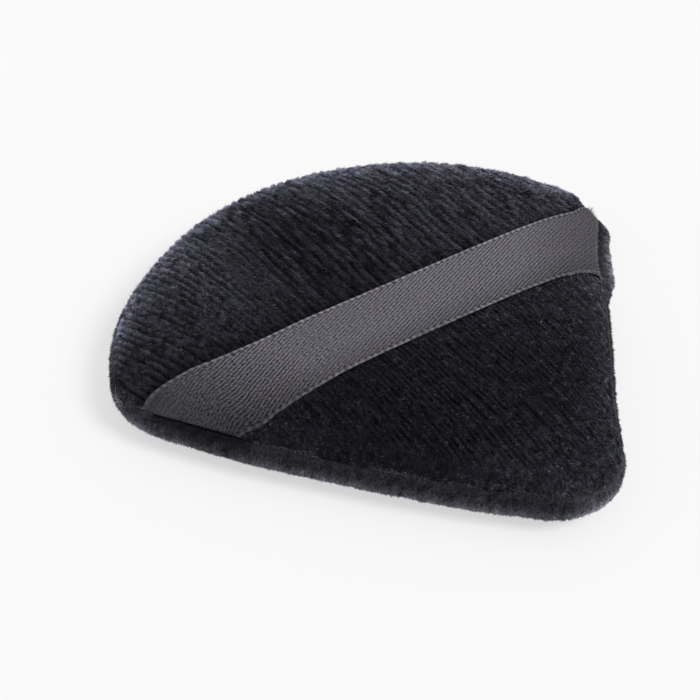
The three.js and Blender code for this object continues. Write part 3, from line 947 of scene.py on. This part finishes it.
end_fray = 420  # at the end of the ribbon, and the others along its lower edge near there
fray_count = 1100
fray_rng = np.random.default_rng(30)
fray_share = fray_rng.beta(1.3, 0.8, fray_count)
fray_share[end_fray:] = fray_rng.uniform(0, 0.03, fray_count - end_fray)
fray_root = []
for k, share in enumerate(fray_share):
    line_x, line_y, line_z, line_run = ribbon_line(1, share)
    spot = np.searchsorted(line_z, fray_rng.uniform(0.3, 1.6) * mm)
    if k >= end_fray:
        spot = np.searchsorted(line_run, allowance + (1 + 9 * fray_rng.beta(0.8, 1.4)) * mm)
    fray_root.append((line_x[spot], line_y[spot], seam_z + line_z[spot]))
fray_aim = fray_rng.normal(size=(fray_count, 3)) * (0.3, 0.6, 0.4) + (0.7, 0.1, 0.5)
fray_aim[end_fray:] += (-0.4, -0.9, -0.3)
fray_aim /= np.linalg.norm(fray_aim, axis=1)[:, None]
at_corner = fray_share > 0.93
fray_reach = fray_rng.uniform(0.2, 0.6, fray_count) * mm * np.where(at_corner, 2, 1)
fray_shade = fray_rng.uniform(0.5, 4, (fray_count, 2))
fray_stout = np.full(fray_count, 0.03 * mm)
fray_stout[end_fray:] = 0.055 * mm
ribbon_fray = spikes(
    "ribbon_fray", np.array(fray_root), fray_aim, fray_reach, fray_stout, fray_shade, fray_rng)
frayed_satin = velour_material("frayed_satin", (0.03, 0.03, 0.032, 1), (0.95, 0.92, 0.97, 1))
ribbon_fray.data.materials.append(frayed_satin)
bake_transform(ribbon_fray)

# Lower velour panel: the same plush, sewn to the upper panel and turned out, so that its edge
# swells out under the seam in a short furry roll. It is flat where the puff rests.
bulge_drop = 1.5 * mm
roll_width = 8.5 * mm
roll_power = 2.5
lobe_swell = 0.5 * mm  # the roll stands out beyond the ribbon's right end
lobe_length = 2.5 * mm
lobe_y = 3.5 * mm
front_swell = 0.4 * mm  # and along the left flank
lower_low, lower_high = (np.array(corner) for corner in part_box("lower_cover"))
lower_depth = seam_z - lower_low[2]
lower_bulge = lower_high[0] - upper_high[0]


def roll_section(bulge, reach_depth, start_depth):
    """Insets and depths of the lower panel's roll, from its widest to the edge of the flat."""
    angle = np.linspace(0, math.pi / 2, 160)
    side = np.clip(np.cos(angle), 0, 1) ** (2 / roll_power)
    down = np.sin(angle) ** (2 / roll_power)
    inset = -bulge + (roll_width + bulge) * (1 - side)
    depth = start_depth + (reach_depth - start_depth) * down
    return np.append(inset, mean_reach), np.append(depth, reach_depth)


def lower_places(share, around, inset, depth):
    """Points of a face of the lower panel, along a section that runs in from the seam."""
    run, length = section_runs(inset, depth)
    here = np.interp(1 - share, run, inset)
    down = np.interp(1 - share, run, depth)
    drawn = round_values(outline_draw, around) * np.clip(1 - down / bulge_drop, 0, 1)
    spots, ways = round_values(rim_outline, around), round_values(outline_facing, around)
    lobe = lobe_swell * hump(spots[:, 1], lobe_y, lobe_length) * (spots[:, 0] > 0)
    lobe += front_swell * eased(spots[:, 0], 4 * mm, -4 * mm) * eased(spots[:, 1], 0, -8 * mm)
    lobe *= np.clip(down / bulge_drop, 0, 1) * (1 - np.clip((here + lower_bulge) / roll_width, 0, 1))
    rolled = spots - ways * (np.minimum(here, roll_width) + drawn - lobe)[:, None]
    flat = np.clip((here - roll_width) / (mean_reach - roll_width), 0, 1)[:, None]
    return np.column_stack((rolled + (panel_middle - rolled) * flat, seam_z - down)), length


lip = np.linspace(0, 1, 40, endpoint=False)
roll_inset, roll_depth = roll_section(lower_bulge, lower_depth, bulge_drop)
lower_inset = np.append(-lower_bulge * np.sqrt(1 - (1 - lip) ** 2), roll_inset)
lower_depths = np.append(half_gap + (bulge_drop - half_gap) * lip, roll_depth)
lower_base, lower_length = lower_places(net_share, net_around, lower_inset, lower_depths)
in_roll = (1 - net_share) * lower_length
lower_runs = section_runs(lower_inset, lower_depths)[0] * lower_length
roll_left = np.maximum(lower_length - mean_reach + roll_width - in_roll, 0)
unrolled = roll_left - np.maximum(roll_width - np.interp(in_roll, lower_runs, lower_inset), 0)
lower_flat = lower_base[:, :2] + round_values(outline_facing, net_around) * unrolled[:, None]
lower_pile = plush_pile(*lower_flat.T, back_rib_pitch, 0.8, whole=0.75, run=2 * mm, seed=40)
lower_facing = -facing_of(lower_base, net_faces(fine_cells))
lower_pile_depth = (0.12 + 0.28 * eased(in_roll, 6 * mm, 10 * mm)) * mm
lower_lift = ((lower_pile - 1) * lower_pile_depth - 0.8 * pile_stand) * eased(in_roll, 0, seam_fade)
lower_points = lower_base + lower_facing * lower_lift[:, None]
lower_points[:, 2] = np.maximum(lower_points[:, 2], 0)
lower_inner, _ = lower_places(inner_share, inner_around, *roll_section(
    lower_bulge - velour_thickness, lower_depth - velour_thickness, half_gap + allowance_thickness))
lower_velour = panel_piece(
    "lower_velour", lower_points, (allowance, allowance),
    (seam_z - half_gap, seam_z - half_gap - allowance_thickness), lower_inner, False,
)
lower_x, lower_y, roll_run = lower_base[:, 0] / mm, lower_base[:, 1] / mm, in_roll / mm
rim_tone = 0.8 + 8 * eased(roll_run, 0.8, 6.3) * eased(roll_run, 7.6, 5)  # painted light, palest low on the roll
rim_place = 1 + 1.1 * eased(lower_x, 4, 14) * eased(lower_y, 6, -2)  # painted light, paler along the right flank
rim_place += 8 * eased(lower_y, 13, 25) * (1 - 0.75 * eased(lower_y, 22, 30))  # round the back
rim_place += 4 * eased(lower_x, 26, 32) * eased(lower_y, 8, 12)  # at both corners
rim_place += 0.8 * eased(lower_x, -32, -38) * eased(lower_y, -2, 4)
rim_place += 1.2 * eased(lower_x, -6, 0) * eased(lower_y, -36, -39)  # and at the tip
rim_place += 1.5 * eased(lower_x, 3, 7) * eased(lower_y, -34, -38)
rim_tone *= 1 + (rim_place - 1) * eased(roll_run, 8, 5)
# Painted shade on the roll under both ends of the ribbon and beside its left end, and painted light on
# the roll below its right end.
by_ribbon = eased(abs(lower_x), 28, 33) * eased(abs(lower_y - ribbon_y / mm), 7.5, 5)
tucked = np.where(lower_x > 0, 1.3, 1.1)
under_ribbon = by_ribbon * eased(roll_run, tucked, tucked - 0.5)
rim_tone *= (1 - 0.6 * under_ribbon) * (1 - 0.3 * by_ribbon * (lower_x < 0))
rim_tone *= 1 + 1.4 * by_ribbon * (lower_x > 0) * eased(roll_run, 0.4, 0.9)
store(lower_velour, "pile", 0.5 * rim_tone * (0.5 + 0.5 * lower_pile))
lower_plush = velour_material("lower_plush", pile_black, (0.59, 0.598, 0.69, 1))
lower_velour.data.materials.append(lower_plush)
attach(lower_velour, "puff")
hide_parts("lower_cover")

down_nap = np.column_stack((-round_values(outline_facing, net_around), np.full(len(net_share), -2.0)))
lower_panel = (lower_points, lower_facing, 0.6 + 0.4 * lower_pile)
off_floor = lower_points[:, 2]
on_rim = np.clip((9 * mm - in_roll) / (3 * mm), 0, 1) * (off_floor > 0.5 * mm) * (1 - 0.5 * under_ribbon)
underneath = np.clip((in_roll - 8 * mm) / (2 * mm), 0, 1) * (off_floor > 0.15 * mm)
lower_tufts = [
    pile_tufts(
        "lower_pile_rim", 44000, lower_panel, on_rim, rim_tone, down_nap,
        length=0.62 * mm, width=0.1 * mm, lean=1.1, slew=0.45, vary=0.4,
        clump=(0.5 * mm, 0.5 * mm), streak=0.6, seed=80,
    ),
    pile_tufts(
        "lower_pile_under", 30000, lower_panel, underneath, rim_tone, to_tip_nap,
        length=0.4 * mm, width=0.11 * mm, lean=1.25, slew=0.2, vary=0.3,
        clump=(0.35 * mm, 1.2 * mm), streak=0.5, seed=90,
    ),
]
for pile_piece in lower_tufts:
    pile_piece.data.materials.append(lower_plush)
    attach(pile_piece, "puff")

# Sponge filling: one slab of soft open-cell foam, cut to the puff's outline and pushed in through
# the gap in the seam. It crowns the upper panel and is held only by the covers round it.
sponge_cells = 120
cell_relief = 0.25 * mm
sponge_edge_power = 9
sponge_cream = (0.7, 0.67, 0.6, 1)
sponge_yellowed = (0.66, 0.6, 0.47, 1)
sponge_pore_shade = (0.3, 0.27, 0.21, 1)
sponge_low, sponge_high = (np.array(corner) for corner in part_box("foam_core"))
sponge_share, sponge_around = round_net(sponge_cells)
sponge_draw = upper_high[0] - sponge_high[0]
sponge_facing = round_values(outline_facing, sponge_around)
sponge_spots = round_values(outline, sponge_around) - sponge_draw * sponge_facing
sponge_out = np.sin(sponge_share * math.pi / 2)
sponge_plan = panel_middle + (sponge_spots - panel_middle) * sponge_out[:, None]
sponge_faces = []
sponge_points = []
for sponge_top, sponge_power in ((sponge_high[2], crown_power), (sponge_low[2], sponge_edge_power)):
    swell_out = np.sqrt(np.clip(1 - sponge_out ** sponge_power, 0, 1))
    pits = smooth_noise(sponge_plan[:, 0] / (0.9 * mm), sponge_plan[:, 1] / (0.9 * mm), 50)
    pits = cell_relief * np.clip(pits + 0.2, 0, 1) * swell_out
    height = seam_z + (sponge_top - seam_z) * swell_out
    height -= np.sign(sponge_top - seam_z) * pits
    sponge_points.append(np.column_stack((sponge_plan, height)))
    sponge_faces.append(net_faces(sponge_cells))
sponge_rim = net_edge(sponge_cells)
lower_index = np.arange(len(sponge_share)) + len(sponge_share)
lower_index[sponge_rim] = sponge_rim  # the two faces share their edge
sponge_faces[1] = lower_index[sponge_faces[1]][:, ::-1]
kept = np.ones(2 * len(sponge_share), bool)
kept[len(sponge_share) + sponge_rim] = False
renumbered = np.cumsum(kept) - 1
sponge_points, sponge_faces = np.vstack(sponge_points)[kept], renumbered[np.vstack(sponge_faces)]
sponge = mesh_piece("sponge_filling", sponge_points, sponge_faces)


def sponge_material():
    """Open-cell foam: cream struts round small cells darkened with painted shade, a little yellowed in
    patches.
    """
    material, tree, shader = new_material("cut_sponge")
    place = tree.nodes.new("ShaderNodeTexCoord").outputs["Object"]
    cells = tree.nodes.new("ShaderNodeTexVoronoi")
    cells.inputs["Scale"].default_value = 1500
    tree.links.new(place, cells.inputs["Vector"])
    strut = spread(tree, cells.outputs["Distance"], 0.15, 0.6, 0, 1)
    aged = mixed(tree, cloudy(tree, place, 90), sponge_cream, sponge_yellowed)
    tree.links.new(mixed(tree, strut, sponge_pore_shade, aged), shader.inputs["Base Color"])
    bumped(tree, shader, strut, 1.0, 0.25 * mm)
    tree.links.new(spread(tree, strut, 0, 1, 1, 0.85), shader.inputs["Roughness"])
    shader.inputs["Specular IOR Level"].default_value = 0.2
    return material


sponge.data.materials.append(sponge_material())
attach(sponge, "puff")
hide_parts("foam_core")

# Sewing thread: black two-ply spun polyester. The machine seam's needle and bobbin threads stay as
# the solids that they are, and hand stitches whip the turning gap shut over the back edge.
turning_gap = 36 * mm
closing_stitches = 12
stitch_rise = 0.65 * mm
thread_radius = 0.15 * mm
ply_turn = 0.8 * mm
steps_per_stitch = 18
thread_sides = 10
thread_dark = (0.006, 0.006, 0.008, 1)
thread_lint = (0.05, 0.05, 0.058, 1)


def thread_material():
    """Spun thread: slanting plies with pale fibre ends, a little glossy."""
    material, tree, shader = new_material("spun_thread")
    place = tree.nodes.new("ShaderNodeTexCoord").outputs["Object"]
    ply = tree.nodes.new("ShaderNodeTexWave")
    ply.bands_direction = "DIAGONAL"
    ply.inputs["Scale"].default_value = 900
    ply.inputs["Distortion"].default_value = 1.5
    tree.links.new(place, ply.inputs["Vector"])
    shade = weighed(tree, ply.outputs["Fac"], 0.6, cloudy(tree, place, 5000))
    colour = mixed(tree, shade, thread_dark, thread_lint)
    tree.links.new(colour, shader.inputs["Base Color"])
    bumped(tree, shader, shade, 1.0, 0.05 * mm)
    tree.links.new(spread(tree, shade, 0, 1, 0.8, 0.55), shader.inputs["Roughness"])
    return material


thread_black = thread_material()
for thread_node in ("needle_thread", "bobbin_thread"):
    for thread_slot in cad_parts[thread_node].material_slots:
        thread_slot.material = thread_black

outline_length = np.linalg.norm(np.diff(np.vstack((outline, outline[:1])), axis=0), axis=1).sum()
stitch_place = np.linspace(0, closing_stitches, closing_stitches * steps_per_stitch + 1)
stitch_around = 0.5 + turning_gap / outline_length * (stitch_place / closing_stitches - 0.5)
stitch_height = stitch_rise * np.cos(math.pi * stitch_place)
lip_share = np.clip((-stitch_height - half_gap) / (bulge_drop - half_gap), 0, 1)
stitch_out = lower_bulge * np.sqrt(1 - (1 - lip_share) ** 2) + 0.7 * thread_radius
stitch_facing = round_values(outline_facing, stitch_around)
stitch_plan = round_values(outline, stitch_around) + stitch_facing * stitch_out[:, None]
stitch_line = np.column_stack((stitch_plan, seam_z + stitch_height))
heading = np.gradient(stitch_line, axis=0)
heading /= np.linalg.norm(heading, axis=1)[:, None]
outward = np.column_stack((stitch_facing, np.zeros(len(stitch_line))))
crosswise = np.cross(heading, outward)
crosswise /= np.linalg.norm(crosswise, axis=1)[:, None]
outward = np.cross(crosswise, heading)
thread_run = np.append(0, np.cumsum(np.linalg.norm(np.diff(stitch_line, axis=0), axis=1)))
round_turn = np.arange(thread_sides) * 2 * math.pi / thread_sides
ply = 2 * math.pi * thread_run[:, None] / ply_turn
ply_radius = thread_radius * (0.72 + 0.28 * abs(np.cos(round_turn - ply)))
ply_way = np.cos(round_turn)[None, :, None] * outward[:, None]
ply_way += np.sin(round_turn)[None, :, None] * crosswise[:, None]
thread_rings = stitch_line[:, None] + ply_radius[:, :, None] * ply_way
thread_faces = []
for ring in range(len(stitch_line) - 1):
    for k in range(thread_sides):
        a = ring * thread_sides + k
        b = ring * thread_sides + (k + 1) % thread_sides
        thread_faces.append((a, b, b + thread_sides, a + thread_sides))
last_ring = (len(stitch_line) - 1) * thread_sides
thread_faces.append(tuple(range(thread_sides - 1, -1, -1)))
thread_faces.append(tuple(range(last_ring, last_ring + thread_sides)))
closing = mesh_piece("closing_stitches", thread_rings.reshape(-1, 3), thread_faces)
closing.data.materials.append(thread_black)
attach(closing, "puff")
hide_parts("closing_thread")

# Seam fibres: the velour's cut edge sheds short pale fibres that work out through the machine seam.
# They show as a thin broken light line round the edge, with one loose tuft on the left corner.
fibre_count = 7000
corner_fibres = 60
corner_spot = (-40.3 * mm, 10 * mm)
fibre_rng = np.random.default_rng(35)
fibre_around = fibre_rng.random(4 * fibre_count)
patchy = smooth_noise(fibre_around * 70, fibre_around * 0, 36)
patchy += fibre_rng.uniform(-0.6, 0.6, 4 * fibre_count)
fibre_x, fibre_y = round_values(outline, fibre_around).T
patchy -= 9 * ((abs(fibre_y - ribbon_y) < ribbon_width / 2) & (abs(fibre_x) > ribbon_width))
fibre_around = fibre_around[np.argsort(-patchy)[:fibre_count]]
corner_around = np.argmin(np.linalg.norm(outline - corner_spot, axis=1)) / len(outline)
fibre_around[:corner_fibres] = corner_around + 0.003 * fibre_rng.normal(size=corner_fibres)
fibre_way = np.column_stack((round_values(outline_facing, fibre_around), np.zeros(fibre_count)))
fibre_height = seam_z + 0.25 * mm * fibre_rng.normal(size=fibre_count)
fibre_root = np.column_stack((round_values(outline, fibre_around), fibre_height))
fibre_aim = fibre_way + fibre_rng.normal(size=(fibre_count, 3)) * (0.8, 0.8, 0.7) + (0, 0, 0.3)
fibre_root[:corner_fibres] += fibre_way[:corner_fibres] * (0.65 * mm) - (0, 0, 0.85 * mm)
fibre_aim /= np.linalg.norm(fibre_aim, axis=1)[:, None]
fibre_reach = fibre_rng.uniform(0.25, 0.7, fibre_count) * mm
fibre_reach[:corner_fibres] *= 2.2
fibre_shade = np.repeat(fibre_rng.uniform(0.2, 2.2, fibre_count)[:, None], 2, axis=1)
fibre_shade[:corner_fibres] += 3.5
fibre_stout = np.full(fibre_count, 0.035 * mm)
seam_fibres = spikes(
    "seam_fibres", fibre_root, fibre_aim, fibre_reach, fibre_stout, fibre_shade, fibre_rng)
seam_lint = velour_material("seam_lint", (0.01, 0.01, 0.012, 1), (0.6, 0.62, 0.7, 1))
seam_fibres.data.materials.append(seam_lint)
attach(seam_fibres, "puff")

# Stage: a plain white sweep under soft, even light, with one broad lamp high on the right in front.
# The camera sees part of the sweep as plain white under a faint shadow.
floor_size = 3
floor_white = 0.95
seen_white = 0.97
seen_share = 0.6  # of the sweep's look that is plain white
world_strength = 0.55
lamp_strength = 1.88
lamp_spread = math.radians(25)
lamp_way = (-0.4, 0.85, -1.0)
bpy.ops.mesh.primitive_plane_add(size=floor_size, location=(0, 0, 0))
floor = bpy.context.object
floor.name = "floor"
floor_material, floor_tree, floor_shader = new_material("white_sweep")
floor_shader.inputs["Base Color"].default_value = (floor_white, floor_white, floor_white, 1)
floor_shader.inputs["Roughness"].default_value = 0.9
floor_shader.inputs["Specular IOR Level"].default_value = 0
floor_glow = floor_tree.nodes.new("ShaderNodeEmission")
floor_glow.inputs["Color"].default_value = (seen_white, seen_white, seen_white, 1)
floor_seen = floor_tree.nodes.new("ShaderNodeLightPath")
floor_mix = floor_tree.nodes.new("ShaderNodeMixShader")
floor_rays = floor_seen.outputs["Is Camera Ray"]
for ray in ("Is Glossy Ray", "Is Transmission Ray"):
    floor_rays = worked(floor_tree, "MAXIMUM", floor_rays, floor_seen.outputs[ray])
floor_tree.links.new(worked(floor_tree, "MULTIPLY", floor_rays, seen_share), floor_mix.inputs[0])
floor_tree.links.new(floor_shader.outputs[0], floor_mix.inputs[1])
floor_tree.links.new(floor_glow.outputs[0], floor_mix.inputs[2])
floor_tree.links.new(floor_mix.outputs[0], floor_tree.nodes["Material Output"].inputs["Surface"])
floor.data.materials.append(floor_material)
world = bpy.data.worlds.new("even_light")
bpy.context.scene.world = world
world.use_nodes = True
world.node_tree.nodes["Background"].inputs["Color"].default_value = (1, 1, 1, 1)
world.node_tree.nodes["Background"].inputs["Strength"].default_value = world_strength
lamp_data = bpy.data.lights.new("broad_lamp", "SUN")
lamp_data.energy = lamp_strength
lamp_data.angle = lamp_spread
lamp = bpy.data.objects.new("broad_lamp", lamp_data)
bpy.context.collection.objects.link(lamp)
lamp.rotation_euler = Vector(lamp_way).to_track_quat("-Z", "Y").to_euler()
bpy.context.scene.view_settings.view_transform = "Standard"
